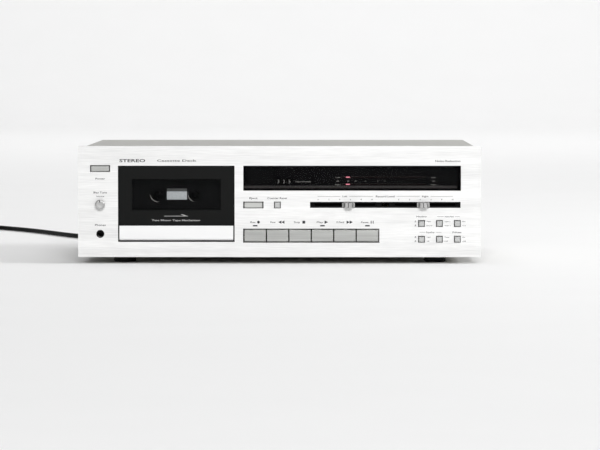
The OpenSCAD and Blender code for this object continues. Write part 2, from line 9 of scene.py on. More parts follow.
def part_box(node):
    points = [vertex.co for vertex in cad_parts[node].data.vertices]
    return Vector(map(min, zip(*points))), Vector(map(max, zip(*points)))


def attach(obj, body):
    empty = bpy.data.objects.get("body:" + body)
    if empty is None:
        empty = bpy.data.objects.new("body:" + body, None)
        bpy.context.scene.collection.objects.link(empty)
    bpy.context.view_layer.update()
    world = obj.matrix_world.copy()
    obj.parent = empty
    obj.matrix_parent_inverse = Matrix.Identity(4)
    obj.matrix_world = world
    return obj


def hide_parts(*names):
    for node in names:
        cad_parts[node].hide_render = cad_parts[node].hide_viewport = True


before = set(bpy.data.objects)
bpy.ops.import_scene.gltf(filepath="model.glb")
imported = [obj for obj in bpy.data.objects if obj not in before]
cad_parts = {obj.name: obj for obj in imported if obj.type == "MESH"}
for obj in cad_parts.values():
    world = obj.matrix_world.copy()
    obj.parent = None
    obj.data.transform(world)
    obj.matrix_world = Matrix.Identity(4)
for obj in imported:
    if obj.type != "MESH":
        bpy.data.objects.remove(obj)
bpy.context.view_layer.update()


# ---- places, from the frame ----------------------------------------------------------------------

def corners(node):
    """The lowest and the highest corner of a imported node."""
    low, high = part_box(node)
    return Vector(low), Vector(high)


def middle(node):
    low, high = corners(node)
    return (low + high) / 2


FRONT_Y = corners("front_panel")[0].y
LID_LOW, LID_HIGH = corners("cassette_lid")
DOOR_X = middle("cassette_lid").x
STRIP_TOP = corners("lid_trim_strip")[1].z
KEYS = ["record_button", "rewind_button", "stop_button", "play_button", "fast_forward_button", "pause_button"]
SMALL_KEYS = [
    ["tape_type_button", "equalizer_button", "noise_reduction_button"],
    ["source_button", "timer_button", "multiplex_filter_button"],
]
SLIDERS = ["level_slider_left", "level_slider_right"]


# ---- camera --------------------------------------------------------------------------------------

LENS = 202.5
CAMERA_AT = (0.044, FRONT_Y - 3.765, 0.229)
CAMERA_DOWN = 2.83
CAMERA_LEFT = 0.32


def add_camera():
    data = bpy.data.cameras.new("camera")
    data.sensor_width = 36
    data.lens = LENS
    data.clip_end = 50
    camera = bpy.data.objects.new("camera", data)
    camera.location = CAMERA_AT
    camera.rotation_euler = (math.radians(90 - CAMERA_DOWN), 0, math.radians(CAMERA_LEFT))
    bpy.context.collection.objects.link(camera)
    bpy.context.scene.camera = camera


# ---- meshes --------------------------------------------------------------------------------------

def add_mesh(name, verts, faces, smooth=True):
    mesh = bpy.data.meshes.new(name)
    mesh.from_pydata(verts, [], faces)
    mesh.validate()
    mesh.update()
    if smooth:
        mesh.shade_smooth()
    piece = bpy.data.objects.new(name, mesh)
    bpy.context.collection.objects.link(piece)
    return piece


def add_bmesh(name, bm, smooth=False):
    mesh = bpy.data.meshes.new(name)
    bmesh.ops.recalc_face_normals(bm, faces=bm.faces)
    bm.to_mesh(mesh)
    bm.free()
    if smooth:
        mesh.shade_smooth()
    piece = bpy.data.objects.new(name, mesh)
    bpy.context.collection.objects.link(piece)
    return piece


def place(piece, material, body="deck"):
    piece.data.materials.clear()
    piece.data.materials.append(material)
    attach(piece, body)
    return piece


# ---- materials -----------------------------------------------------------------------------------

def new_material(name, roughness, metallic=0.0, specular=0.5):
    material = bpy.data.materials.new(name)
    material.use_nodes = True
    shader = material.node_tree.nodes["Principled BSDF"]
    shader.inputs["Roughness"].default_value = roughness
    shader.inputs["Metallic"].default_value = metallic
    shader.inputs["Specular IOR Level"].default_value = specular
    return material, shader


def noise_at(material, scale, stretch=(1, 1, 1), detail=3):
    """Noise over the piece's own coordinates, stretched along an axis where that scale is small."""
    tree = material.node_tree
    coords = tree.nodes.new("ShaderNodeTexCoord")
    mapping = tree.nodes.new("ShaderNodeMapping")
    mapping.inputs["Scale"].default_value = stretch
    noise = tree.nodes.new("ShaderNodeTexNoise")
    noise.inputs["Scale"].default_value = scale
    noise.inputs["Detail"].default_value = detail
    tree.links.new(coords.outputs["Object"], mapping.inputs["Vector"])
    tree.links.new(mapping.outputs["Vector"], noise.inputs["Vector"])
    return noise.outputs["Fac"]


def ramp(material, value, dark, light, low=0.3, high=0.7):
    node = material.node_tree.nodes.new("ShaderNodeValToRGB")
    node.color_ramp.elements[0].position = low
    node.color_ramp.elements[0].color = (*dark, 1)
    node.color_ramp.elements[1].position = high
    node.color_ramp.elements[1].color = (*light, 1)
    material.node_tree.links.new(value, node.inputs["Fac"])
    return node.outputs["Color"]


def ranged(material, value, low, high):
    node = material.node_tree.nodes.new("ShaderNodeMapRange")
    node.inputs["From Min"].default_value = 0.25
    node.inputs["From Max"].default_value = 0.75
    node.inputs["To Min"].default_value = low
    node.inputs["To Max"].default_value = high
    material.node_tree.links.new(value, node.inputs["Value"])
    return node.outputs["Result"]


def bump(material, shader, value, distance):
    node = material.node_tree.nodes.new("ShaderNodeBump")
    node.inputs["Distance"].default_value = distance
    node.inputs["Strength"].default_value = 1.0
    material.node_tree.links.new(value, node.inputs["Height"])
    material.node_tree.links.new(node.outputs["Normal"], shader.inputs["Normal"])


GRAIN_SPREAD = 0.08
BRUSH_SPREAD = 0.07
BRUSH_DEPTH = 0.00001
GLOSS = 0.04


def shade(color, factor):
    return tuple(min(1.0, channel * factor) for channel in color)


def grained(name, color, roughness, scale, depth, metallic=0.0, contrast=0.12, specular=0.5):
    """Colour, roughness and relief that vary with one noise: moulded plastic, paint, rubber or cast metal."""
    material, shader = new_material(name, roughness, metallic, specular)
    fine = noise_at(material, scale, detail=4)
    broad = noise_at(material, scale / 40, detail=2)
    tree = material.node_tree
    tree.links.new(
        ramp(material, broad, shade(color, 1 - contrast), shade(color, 1 + contrast)),
        shader.inputs["Base Color"])
    tree.links.new(
        ranged(material, fine, roughness - GRAIN_SPREAD, roughness + GRAIN_SPREAD),
        shader.inputs["Roughness"])
    bump(material, shader, fine, depth)
    return material


def brushed(name, color, roughness, along=(6, 900, 900), metallic=0.8, contrast=0.03):
    """Metal brushed along one axis: long fine streaks in colour, roughness and relief."""
    material, shader = new_material(name, roughness, metallic)
    streaks = noise_at(material, 1.0, along, detail=6)
    broad = noise_at(material, 1.0, tuple(a / 9 for a in along), detail=2)
    tree = material.node_tree
    mix = tree.nodes.new("ShaderNodeMath")
    mix.operation = "ADD"
    tree.links.new(streaks, mix.inputs[0])
    tree.links.new(broad, mix.inputs[1])
    half = tree.nodes.new("ShaderNodeMath")
    half.operation = "MULTIPLY"
    half.inputs[1].default_value = 0.5
    tree.links.new(mix.outputs[0], half.inputs[0])
    value = half.outputs[0]
    tree.links.new(
        ramp(material, value, shade(color, 1 - contrast), shade(color, 1 + contrast), 0.35, 0.65),
        shader.inputs["Base Color"])
    tree.links.new(
        ranged(material, value, roughness - BRUSH_SPREAD, roughness + BRUSH_SPREAD),
        shader.inputs["Roughness"])
    bump(material, shader, streaks, BRUSH_DEPTH)
    return material


def tinted(name, color, alpha):
    """Smoked acrylic: a dark, glossy sheet that shows what is behind it."""
    material, shader = new_material(name, GLOSS, specular=0.08)
    smudge = noise_at(material, 60)
    material.node_tree.links.new(
        ranged(material, smudge, GLOSS, GLOSS + 0.05), shader.inputs["Roughness"])
    material.node_tree.links.new(
        ramp(material, smudge, shade(color, 0.8), shade(color, 1.2)), shader.inputs["Base Color"])
    shader.inputs["Alpha"].default_value = alpha
    return material


def glowing(name, color, strength):
    material, shader = new_material(name, 0.4)
    cloud = noise_at(material, 400)
    glow = ramp(material, cloud, shade(color, 0.85), color)
    material.node_tree.links.new(glow, shader.inputs["Base Color"])
    material.node_tree.links.new(glow, shader.inputs["Emission Color"])
    shader.inputs["Emission Strength"].default_value = strength
    return material


FASCIA = brushed(
    "brushed_fascia", (0.83, 0.83, 0.825), 0.46, along=(40, 900, 760), metallic=0.2, contrast=0.1)
STRIP = brushed("brushed_strip", (0.90, 0.90, 0.90), 0.36, along=(20, 900, 760), metallic=0.4, contrast=0.012)
KEY = brushed("key_metal", (0.48, 0.485, 0.47), 0.34, along=(14, 300, 420), metallic=0.75, contrast=0.13)
SMALL_KEY = brushed(
    "small_key_metal", (0.50, 0.505, 0.50), 0.34, along=(40, 500, 700), metallic=0.75, contrast=0.06)
KNOB = brushed("knob_metal", (0.48, 0.48, 0.475), 0.32, along=(500, 500, 40), metallic=0.85, contrast=0.06)
COVER = grained("painted_cover", (0.36, 0.357, 0.336), 0.5, 2600, 0.00002, contrast=0.02, specular=0.3)
BLACK_PAINT = grained("black_paint", (0.008, 0.008, 0.009), 0.55, 2200, 0.00003, contrast=0.15, specular=0.15)
DARK_PLATE = grained(
    "blackened_steel", (0.005, 0.005, 0.0055), 0.55, 500, 0.000004, contrast=0.2, specular=0.08)
BLACK_PLASTIC = grained(
    "black_plastic", (0.003, 0.003, 0.0034), 0.5, 3000, 0.00002, contrast=0.15, specular=0.08)
LID_PLASTIC = grained(
    "lid_plastic", (0.0045, 0.0049, 0.0048), 0.48, 2600, 0.000015, contrast=0.08, specular=0.1)
HOLDER = grained(
    "holder_plastic", (0.0022, 0.0025, 0.0030), 0.45, 1500, 0.00001, contrast=0.15, specular=0.13)
GLOSS_PLASTIC = grained(
    "gloss_plastic", (0.006, 0.006, 0.0065), 0.25, 900, 0.00001, contrast=0.1, specular=0.2)
RUBBER = grained("rubber", (0.012, 0.012, 0.012), 0.72, 1800, 0.00004, contrast=0.2, specular=0.3)
VINYL = grained("cord_vinyl", (0.006, 0.006, 0.006), 0.55, 900, 0.00003, contrast=0.2, specular=0.12)
ZINC = grained("zinc_steel", (0.5, 0.49, 0.44), 0.38, 120, 0.00001, metallic=0.9, contrast=0.12)
STEEL = brushed("turned_steel", (0.56, 0.56, 0.56), 0.26, along=(700, 40, 700), metallic=1.0, contrast=0.08)
BRASS = grained("brass", (0.7, 0.55, 0.27), 0.28, 500, 0.00001, metallic=1.0, contrast=0.08)
BOARD = grained("board", (0.10, 0.16, 0.06), 0.5, 700, 0.00003, contrast=0.3)
IRON = grained("varnished_iron", (0.07, 0.07, 0.075), 0.4, 900, 0.00005, contrast=0.25)
SWITCH = grained("switch_plastic", (0.02, 0.021, 0.02), 0.55, 1500, 0.00002, contrast=0.15, specular=0.2)
SCREW = grained("black_oxide", (0.05, 0.05, 0.052), 0.34, 1500, 0.00002, metallic=0.8, contrast=0.2)
DISPLAY_TINT = tinted("display_tint", (0.0015, 0.0015, 0.002), 0.25)
LID_TINT = tinted("lid_tint", (0.003, 0.0034, 0.0038), 0.25)
DARK_INK = grained("dark_ink", (0.045, 0.045, 0.05), 0.6, 4000, 0.00001, contrast=0.25, specular=0.2)
WHITE_INK = grained("white_ink", (0.54, 0.54, 0.53), 0.6, 4000, 0.00001, contrast=0.1)
DISPLAY_INK = grained("display_ink", (0.17, 0.165, 0.155), 0.6, 4000, 0.00001, contrast=0.1)
DIGIT_INK = grained("digit_ink", (0.85, 0.85, 0.82), 0.6, 4000, 0.00001, contrast=0.08)
LEDGE = grained("display_ledge", (0.075, 0.066, 0.064), 0.45, 1500, 0.00001, contrast=0.12)
# painted shadow: the grey of the band that darkens the top of the cassette lamp
PAINTED_LAMP_SHADOW = grained("painted_lamp_shadow", (0.2, 0.21, 0.21), 0.5, 900, 0.00001, contrast=0.1)
# painted highlight: the bright colour of the arcs where the hub holes' rims catch the light
RIM_HIGHLIGHT = grained("hub_rim_painted_highlight", (0.85, 0.85, 0.8), 0.3, 900, 0.000005, contrast=0.1)
LED_OFF = grained("led_off", (0.012, 0.003, 0.003), 0.3, 900, 0.00001, contrast=0.3, specular=0.2)
LED_ON = glowing("led_on", (1.0, 0.30, 0.38), 2.3)
LAMP = glowing("lamp_diffuser", (0.66, 0.70, 0.72), 0.62)
WHITE_PLASTIC = grained("white_plastic", (0.7, 0.7, 0.66), 0.4, 1500, 0.00002)
RED_PLASTIC = grained("red_plastic", (0.5, 0.03, 0.03), 0.4, 1500, 0.00002)


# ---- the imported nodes, softened at their edges ------------------------------------------------------

def finish_node(node, material, edge=0.0, segments=2):
    """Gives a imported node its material, and rounds its sharp edges where an edge width is given."""
    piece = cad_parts[node]
    if not piece.material_slots:
        piece.data.materials.append(material)
    for slot in piece.material_slots:
        slot.material = material
    if edge:
        weld = piece.modifiers.new("weld", "WELD")
        weld.merge_threshold = 0.00001
        bevel = piece.modifiers.new("bevel", "BEVEL")
        bevel.width = edge
        bevel.segments = segments
        bevel.limit_method = "ANGLE"
        bevel.angle_limit = math.radians(35)
        split = piece.modifiers.new("edge_split", "EDGE_SPLIT")
        split.split_angle = math.radians(24)
        flat = piece.modifiers.new("flat_faces", "WEIGHTED_NORMAL")
        flat.mode = "FACE_AREA"
        flat.weight = 80


def finish_nodes():
    finish_node("front_panel", FASCIA)
    finish_node("lid_trim_strip", STRIP, 0.0001)
    finish_node("chassis_base", ZINC)
    finish_node("front_subpanel", BLACK_PAINT)
    finish_node("rear_panel", BLACK_PAINT)
    finish_node("feet", RUBBER, 0.0005)
    finish_node("case_screws", SCREW, 0.0002)
    finish_node("display_window", DISPLAY_TINT, 0.0002)
    finish_node("display_carrier", DARK_PLATE)
    finish_node("meter_leds", LED_OFF, 0.0001)
    finish_node("slide_controls", BLACK_PLASTIC, 0.0002)
    finish_node("switch_bodies", SWITCH, 0.0002)
    finish_node("headphone_jack", GLOSS_PLASTIC, 0.0003)
    finish_node("phono_jacks", BRASS, 0.0002)
    finish_node("main_board", BOARD, 0.0002)
    finish_node("power_transformer", IRON, 0.0005)
    finish_node("well_frame", DARK_PLATE)
    finish_node("cassette_lamp", LAMP)
    finish_node("mechanism_plate", DARK_PLATE)
    finish_node("mechanism_bracket", ZINC)
    finish_node("capstan_motor", STEEL, 0.0005)
    finish_node("reel_motor", STEEL, 0.0005)
    finish_node("drive_belt", RUBBER)
    finish_node("motor_pulley", BRASS, 0.0002)
    finish_node("supply_flywheel", STEEL, 0.0002)
    finish_node("takeup_flywheel", STEEL, 0.0002)
    finish_node("supply_spindle", BLACK_PLASTIC, 0.0001)
    finish_node("takeup_spindle", BLACK_PLASTIC, 0.0001)
    finish_node("head_base", STEEL, 0.0002)
    finish_node("supply_pinch_arm", RUBBER, 0.0002)
    finish_node("takeup_pinch_arm", RUBBER, 0.0002)
    finish_node("cassette_lid", LID_PLASTIC, 0.0003)
    finish_node("lid_window", LID_TINT, 0.0002)
    finish_node("cassette_holder", HOLDER)
    for node in ("counter_units_drum", "counter_tens_drum", "counter_hundreds_drum"):
        finish_node(node, BLACK_PLASTIC, 0.0002)
    for node in KEYS:
        finish_node(node, KEY, 0.0003)
    for node in ("power_button", "eject_button"):
        finish_node(node, KEY, 0.0006, 1)
    for node in ("counter_reset_button", *SMALL_KEYS[0], *SMALL_KEYS[1]):
        finish_node(node, SMALL_KEY, 0.0006, 1)
    finish_node("strain_relief", VINYL, 0.0003)
    finish_node("power_plug", VINYL, 0.0008)


# ---- printed words, marks and scales ---------------------------------------------------------------

CAP_SHARE = 0.73
PRINT_T = 0.00003


def text_mesh(text, cap, extrude, align="CENTER", resolution=2, offset=0.0):
    """Flat letters whose capitals are cap tall, in the XY plane."""
    curve = bpy.data.curves.new("words", "FONT")
    curve.body = text
    curve.size = cap / CAP_SHARE
    curve.align_x = align
    curve.resolution_u = resolution
    curve.extrude = extrude
    curve.offset = offset
    holder = bpy.data.objects.new("words", curve)
    mesh = bpy.data.meshes.new_from_object(holder)
    bpy.data.objects.remove(holder)
    bpy.data.curves.remove(curve)
    return mesh


class Print:
    """Collects flat printed shapes on one upright face, and makes them one piece."""

    def __init__(self, name, face_y, side=1):
        self.name = name
        self.face_y = face_y
        self.side = side
        self.bm = bmesh.new()

    def at(self, x, depth, z):
        """A point of the print: depth is in front of the face, and side -1 turns it to face +Y."""
        return (x, self.face_y - self.side * depth, z)

    def words(self, text, x, z, cap, width=None, align="CENTER", weight=0.0):
        """Words whose capitals are cap tall, squeezed or widened to the given width."""
        mesh = text_mesh(text, cap, PRINT_T / 2, align, offset=weight or cap * 0.02)
        widths = [v.co.x for v in mesh.vertices]
        squeeze = width / (max(widths) - min(widths)) if width else 1.0
        for v in mesh.vertices:
            v.co = self.at(x + self.side * v.co.x * squeeze, v.co.z, z + v.co.y - cap / 2)
        self.bm.from_mesh(mesh)
        bpy.data.meshes.remove(mesh)

    def shape(self, outline):
        """A flat filled outline, given as x and z points."""
        front = [self.bm.verts.new(self.at(x, PRINT_T / 2, z)) for x, z in outline]
        back = [self.bm.verts.new(self.at(x, -PRINT_T / 2, z)) for x, z in outline]
        self.bm.faces.new(front)
        self.bm.faces.new(list(reversed(back)))
        for i in range(len(outline)):
            j = (i + 1) % len(outline)
            self.bm.faces.new((front[j], front[i], back[i], back[j]))

    def bar(self, x0, x1, z, height):
        self.shape([(x0, z - height / 2), (x1, z - height / 2), (x1, z + height / 2), (x0, z + height / 2)])

    def frame(self, x0, x1, z0, z1, width):
        """A line of the given width just outside a rectangle."""
        self.bar(x0 - width, x1 + width, z1 + width / 2, width)
        self.bar(x0 - width, x1 + width, z0 - width / 2, width)
        for x in (x0 - width, x1):
            self.shape([(x, z0), (x + width, z0), (x + width, z1), (x, z1)])

    def disc(self, x, z, radius):
        self.shape([(x + radius * math.cos(math.radians(15 * k)), z + radius * math.sin(math.radians(15 * k)))
                    for k in range(24)])

    def triangle(self, x, z, size, way):
        base, tip = x - way * size / 2, x + way * size / 2
        self.shape([(base, z - size / 2), (tip, z), (base, z + size / 2)])

    def piece(self, material, slot, body="deck"):
        return place(add_bmesh(self.name, self.bm), material, body)


SMALL_CAP = 0.0021
TINY_CAP = 0.0015
RULE = 0.0003
METER_ROW = 0.0009


def transport_symbol(sheet, word, x, z):
    """The usual sign of each transport button: disc, square, triangle, two bars or two triangles."""
    size = 0.0031
    if word == "Rec":
        sheet.disc(x, z, size / 2)
    elif word == "Stop":
        sheet.bar(x - size / 2, x + size / 2, z, size)
    elif word == "Play":
        sheet.triangle(x, z, size * 1.25, 1)
    elif word == "Pause":
        for side in (-1, 1):
            sheet.bar(x + side * 0.0011 - 0.0005, x + side * 0.0011 + 0.0005, z, size)
    else:
        way = -1 if word == "Rew" else 1
        for side in (-1, 1):
            sheet.triangle(x + side * 0.0017, z, size * 1.15, way)


def print_left_column(sheet):
    power, knob, phones = middle("power_button"), middle("bias_knob"), middle("headphone_jack")
    sheet.words("Power", power.x, power.z - 0.0112, SMALL_CAP, 0.0108)
    sheet.words("Bias Tune", power.x, knob.z + 0.0133, SMALL_CAP, 0.0150)
    sheet.words("Normal", power.x, knob.z + 0.0090, TINY_CAP, 0.0086)
    sheet.words("Phones", power.x, phones.z + 0.0100, SMALL_CAP, 0.0118)


def print_title(sheet):
    z = LID_HIGH.z + 0.0072
    sheet.words("STEREO", LID_LOW.x, z, 0.0034, 0.0290, "LEFT", 0.00012)
    sheet.words("Cassette Deck", LID_LOW.x + 0.0420, z, 0.0024, 0.0440, "LEFT")
    display_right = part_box("display_window")[1][0]
    sheet.words("Noise Reduction", display_right - 0.0146, z - 0.0004, 0.0022, 0.0280)


# each word of the transport row, with the shifts of the word and of its sign from the button's middle
KEY_WORDS = [("Rec", -0.0026, 0.0037), ("Rew", -0.0053, 0.0042), ("Stop", -0.0035, 0.0042),
             ("Play", -0.0031, 0.0043), ("F.Fwd", -0.0052, 0.0053), ("Pause", -0.0030, 0.0053)]
KEY_WORD_RISE = 0.0151
KEY_ROW_HALF_W = 0.07572
KEY_ROW_HALF_H = 0.00747


def print_transport(sheet):
    for key, (word, word_shift, sign_shift) in zip(KEYS, KEY_WORDS):
        at = middle(key)
        z = at.z + KEY_WORD_RISE
        sheet.words(word, at.x + word_shift, z, 0.0019, 0.0013 * len(word) + 0.0018)
        transport_symbol(sheet, word, at.x + sign_shift, z)


def add_key_row_edge():
    """Painted shade: the dark line round the opening of the transport buttons, a thin black frame printed on
    the fascia so the gap round them reads dark.
    """
    first, last = middle(KEYS[0]), middle(KEYS[-1])
    x, z = (first.x + last.x) / 2, first.z
    edge = Print("key_row_painted_shade", FRONT_Y)
    edge.frame(x - KEY_ROW_HALF_W, x + KEY_ROW_HALF_W, z - KEY_ROW_HALF_H, z + KEY_ROW_HALF_H, 0.0004)
    edge.piece(BLACK_PAINT, "brushed_fascia")


def print_row_above_slider(sheet):
    eject, reset = middle("eject_button"), middle("counter_reset_button")
    sheet.words("Eject", eject.x, eject.z + 0.0077, SMALL_CAP, 0.0090)
    sheet.words("Counter Reset", reset.x - 0.0003, reset.z + 0.0077, SMALL_CAP, 0.0222)
    slot_z = middle("level_slider_left").z
    for start in (0.04325, 0.1332):
        for i in range(6):
            sheet.words(str(2 * i), start + 0.012 * i, slot_z + 0.0061, TINY_CAP)
    z = slot_z + 0.0096
    for x0, x1 in ((0.0426, 0.0680), (0.0780, 0.1045), (0.1306, 0.1565), (0.1686, 0.1936)):
        sheet.bar(x0, x1, z, RULE)
    sheet.words("Left", 0.0729, z, TINY_CAP * 1.2, 0.0052)
    sheet.words("Record Level", 0.1181, z, SMALL_CAP, 0.0210)
    sheet.words("Right", 0.1626, z, TINY_CAP * 1.2, 0.0070)


def print_small_keys(sheet):
    sides = [[("Tape", "Source"), ("Type 2", "Type 1"), ("In", "Out")],
             [("120", "70"), ("Timer", "Off"), ("On", "Off")]]
    rows = [middle(row[0]).z for row in SMALL_KEYS]
    columns = [middle(key).x for key in SMALL_KEYS[0]]
    head_cap = TINY_CAP * 1.15
    top, low = (z + 0.0078 for z in rows)
    sheet.words("Monitor", columns[0], top, head_cap, 0.0118)
    pair = (columns[1] + columns[2]) / 2
    sheet.words("Noise Red.", pair + 0.0010, top, head_cap, 0.0100)
    sheet.bar(pair - 0.0125, pair - 0.0052, top, RULE)
    sheet.bar(pair + 0.0070, pair + 0.0125, top, RULE)
    first = (columns[0] + columns[1]) / 2
    sheet.words("Equalizer", first, low, head_cap, 0.0095)
    sheet.bar(first - 0.0122, first - 0.0058, low, RULE)
    sheet.bar(first + 0.0058, first + 0.0122, low, RULE)
    sheet.words("Filter", columns[2] - 0.0004, low, head_cap, 0.0105)
    for row, z in enumerate(rows):
        for column, x in enumerate(columns):
            for word, dz in zip(sides[row][column], (0.0023, -0.0023)):
                width = 0.0009 * len(word) + 0.0012
                sheet.words(word, x + 0.0055, z + dz, 0.0012, width, "LEFT")
        x = columns[0] - 0.0068
        for dz in (0.0023, -0.0023):
            sheet.bar(x - 0.0011, x + 0.0011, z + dz - 0.0006, RULE)
            sheet.bar(x - 0.0006, x + 0.0006, z + dz + 0.0004, 0.0009)


def print_front():
    sheet = Print("front_print", FRONT_Y)
    print_left_column(sheet)
    print_title(sheet)
    print_transport(sheet)
    print_row_above_slider(sheet)
    print_small_keys(sheet)
    sheet.piece(DARK_INK, "brushed_fascia")


def print_lid():
    """The line with its arrow that shows the way the tape runs, and the words under it."""
    sheet = Print("lid_print", LID_LOW.y)
    z = STRIP_TOP + 0.0108
    sheet.bar(DOOR_X - 0.0134, DOOR_X + 0.0115, z, 0.00045)
    arrow_tip = [(0.0048, 0.0021), (0.0062, 0.0021), (0.0136, -0.0003), (0.0100, -0.0003)]
    sheet.shape([(DOOR_X + x, z + rise) for x, rise in arrow_tip])
    sheet.words("Two Motor Tape Mechanism", DOOR_X - 0.0004, STRIP_TOP + 0.0062, 0.0019, 0.0538)
    sheet.piece(WHITE_INK, "lid_plastic", "door")


def print_display():
    sheet = Print("display_print", corners("display_window")[0].y)
    leds_low, leds_high = corners("meter_leds")
    row_high, row_low = leds_high.z - METER_ROW, leds_low.z + METER_ROW
    mid = (row_high + row_low) / 2
    drum = middle("counter_tens_drum")
    sheet.words("Tape Counter", 0.0265, drum.z, 0.0014, 0.0178)
    for x in (0.0651, 0.1720):
        for word, z in (("Left", row_high), ("dB", mid), ("Right", row_low)):
            sheet.words(word, x, z, 0.0012, 0.0011 * len(word) + 0.0006)
    for x, word in ((0.0765, "-20"), (0.0848, "-10"), (0.0959, "-5"), (0.1098, "0"), (0.1177, "3")):
        sheet.words(word, x, mid, 0.0014)
    sheet.piece(DISPLAY_INK, "smoked_acrylic")


def print_rear():
    sheet = Print("rear_print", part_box("rear_panel")[1][1], -1)
    left, right = 0.120, 0.142
    sheet.words("Line In", left, 0.0795, 0.0024, 0.0110)
    sheet.words("Line Out", right, 0.0795, 0.0024, 0.0125)
    for word, z in (("L", 0.067), ("R", 0.045)):
        sheet.words(word, right + 0.0135, z, 0.0030)
    sheet.piece(WHITE_INK, "black_steel")


DIGIT_CAP = 0.0042


def add_drum_digits():
    """The ten white digits round each drum of the tape counter, wrapped onto it."""
    for node, shown in (("counter_hundreds_drum", 3), ("counter_tens_drum", 2), ("counter_units_drum", 5)):
        at = middle(node)
        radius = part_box(node)[1][2] - at.z
        bm = bmesh.new()
        for digit in range(10):
            mesh = text_mesh(str(digit), DIGIT_CAP, PRINT_T, resolution=3)
            for v in mesh.vertices:
                angle = math.radians(36 * (shown - digit)) + (v.co.y - DIGIT_CAP / 2) / radius
                reach = radius + v.co.z
                v.co = (at.x + v.co.x * 0.9, at.y - reach * math.cos(angle), at.z + reach * math.sin(angle))
            bm.from_mesh(mesh)
            bpy.data.meshes.remove(mesh)
        place(add_bmesh(node.replace("drum", "digits"), bm), DIGIT_INK, node)


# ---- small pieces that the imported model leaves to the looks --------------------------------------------

def block(bm, low, high):
    """A box from its lowest to its highest corner."""
    corners = [(x, y, z) for x in (low[0], high[0]) for y in (low[1], high[1]) for z in (low[2], high[2])]
    v = [bm.verts.new(c) for c in corners]
    for quad in ((0, 1, 3, 2), (4, 6, 7, 5), (0, 4, 5, 1), (2, 3, 7, 6), (0, 2, 6, 4), (1, 5, 7, 3)):
        bm.faces.new([v[i] for i in quad])


def soft_blocks(name, boxes, edge, segments=3):
    """Boxes with round edges, as one piece."""
    bm = bmesh.new()
    for low, high in boxes:
        block(bm, low, high)
    bmesh.ops.bevel(bm, geom=bm.edges[:], offset=edge, segments=segments, affect="EDGES", profile=0.5)
    return add_bmesh(name, bm, smooth=True)


def add_counter_mask():
    """The black mask that lets only one row of the counter's digits show."""
    window_low, window_high = corners("display_window")
    left, right = corners("counter_hundreds_drum")[0].x - 0.003, corners("counter_units_drum")[1].x + 0.003
    z, y, half_open = middle("counter_tens_drum").z, window_high.y + 0.0003, 0.0026
    boxes = [((left, y, z + half_open), (right, y + 0.0002, window_high.z - 0.0005)),
             ((left, y, window_low.z + 0.0054), (right, y + 0.0002, z - half_open)),
             ((left, y, window_low.z + 0.0002), (right, y + 0.0002, window_low.z + 0.0023))]
    place(soft_blocks("counter_mask", boxes, 0.00004, 1), BLACK_PLASTIC)


def add_door_gap():
    """Painted shade: the dark gap that runs round the cassette lid, made of black strips set just behind the
    face so the gap reads dark instead of showing its lit walls.
    """
    low, high = LID_LOW, LID_HIGH
    y = FRONT_Y + 0.0002
    near, low_near, far = 0.00012, 0.0004, 0.00142
    boxes = [((low.x - far, y, low.z - far), (low.x - near, y + 0.001, high.z + far)),
             ((high.x + near, y, low.z - far), (high.x + far, y + 0.001, high.z + far)),
             ((low.x - near, y, low.z - far), (high.x + near, y + 0.001, low.z - low_near)),
             ((low.x - near, y, high.z + near), (high.x + near, y + 0.001, high.z + far))]
    place(soft_blocks("door_gap", boxes, 0.00002, 1), BLACK_PLASTIC)


def add_status_lenses():
    """Dark lenses above the record, play and pause buttons."""
    boxes = []
    for key in ("record_button", "play_button", "pause_button"):
        at = middle(key)
        z = at.z + 0.0111
        boxes.append(((at.x - 0.0025, FRONT_Y - 0.0002, z - 0.0007),
                      (at.x + 0.0025, FRONT_Y + 0.0006, z + 0.0007)))
    place(soft_blocks("status_lenses", boxes, 0.0001, 2), GLOSS_PLASTIC)


def add_meter_parts():
    """The lit segment of each row, and the grey ledge along the bottom of the display."""
    low, high = corners("meter_leds")
    lit_x, half_w, half_h = 0.0765, 0.0022, 0.00042
    boxes = [((lit_x - half_w, low.y - 0.0003, z - half_h), (lit_x + half_w, low.y + 0.0002, z + half_h))
             for z in (high.z - METER_ROW, low.z + METER_ROW)]
    place(soft_blocks("meter_lit_segments", boxes, 0.0001, 2), LED_ON)
    window_low, window_high = corners("display_window")
    y = window_high.y
    ledge = [((window_low.x + 0.0003, y + 0.0006, window_low.z + 0.0024),
              (window_high.x - 0.0040, y + 0.0030, window_low.z + 0.0053))]
    place(soft_blocks("display_ledge", ledge, 0.0003), LEDGE)


def add_lamp_shade():
    """Painted shadow: a grey band over the top of the lamp behind the cassette window, standing in for the
    shadow that the holder's edge casts on it.
    """
    lamp_low, lamp_high = corners("cassette_lamp")
    reel_z = (lamp_low.z + lamp_high.z) / 2
    shadow_box = [((DOOR_X - 0.0127, lamp_low.y - 0.0003, reel_z + 0.0028),
                  (DOOR_X + 0.0127, lamp_low.y, lamp_high.z))]
    place(soft_blocks("painted_lamp_shadow", shadow_box, 0.0001, 2), PAINTED_LAMP_SHADOW)


